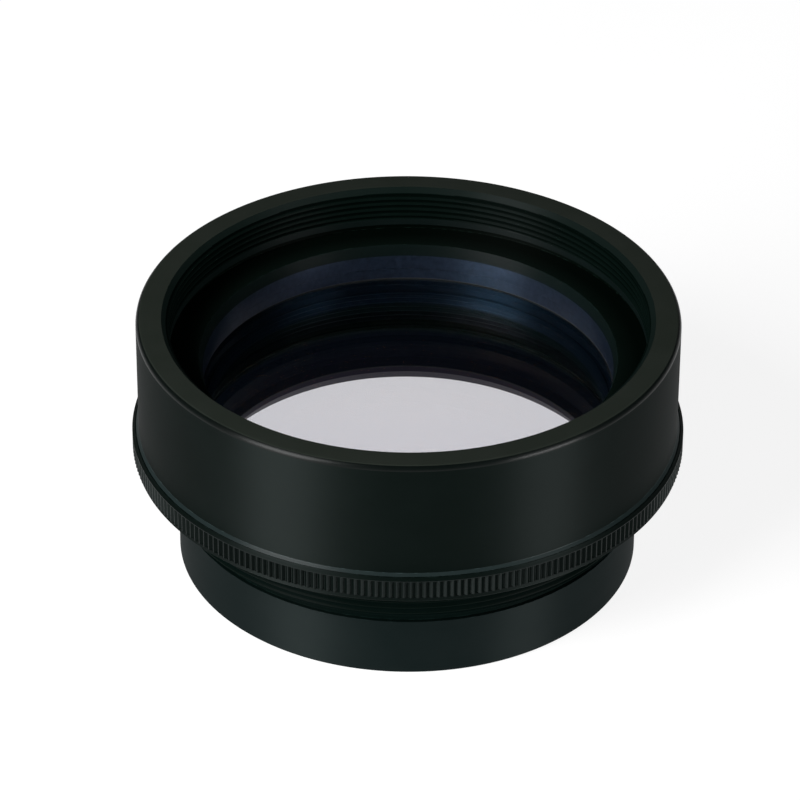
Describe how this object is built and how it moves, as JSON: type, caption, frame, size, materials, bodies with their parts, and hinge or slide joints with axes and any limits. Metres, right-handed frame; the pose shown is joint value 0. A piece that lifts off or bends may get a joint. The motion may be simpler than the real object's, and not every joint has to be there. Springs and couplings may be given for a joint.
{
  "type": "telescope focal reducer",
  "caption": "Cylindrical focal reducer for a telescope: knurled barrel with a male thread, camera-side sleeve with a female thread, and a coated lens stack.",
  "frame": {"origin": "centre of the telescope end's face, on the optical axis", "axes": "+Z along the optical axis towards the camera end"},
  "size_m": [0.086, 0.086, 0.042],
  "materials": {
    "black_anodised": "turned and black anodised",
    "black_rubber": "moulded",
    "blackened_brass": "rolled and chemically blackened",
    "coated_glass": "polished, anti-reflection coated"
  },
  "bodies": {
    "root": {"camera_end_sleeve": "black_anodised", "lens_barrel": "black_anodised", "front_retaining_ring": "black_anodised", "spacer_tube": "black_anodised", "front_spacer": "black_anodised", "rear_cushion": "black_rubber", "front_cushion": "black_rubber", "shim_ring": "blackened_brass", "doublet_spacer": "blackened_brass", "rear_element": "coated_glass", "crown_element": "coated_glass", "flint_element": "coated_glass", "front_element": "coated_glass"}
  },
  "joints": []
}
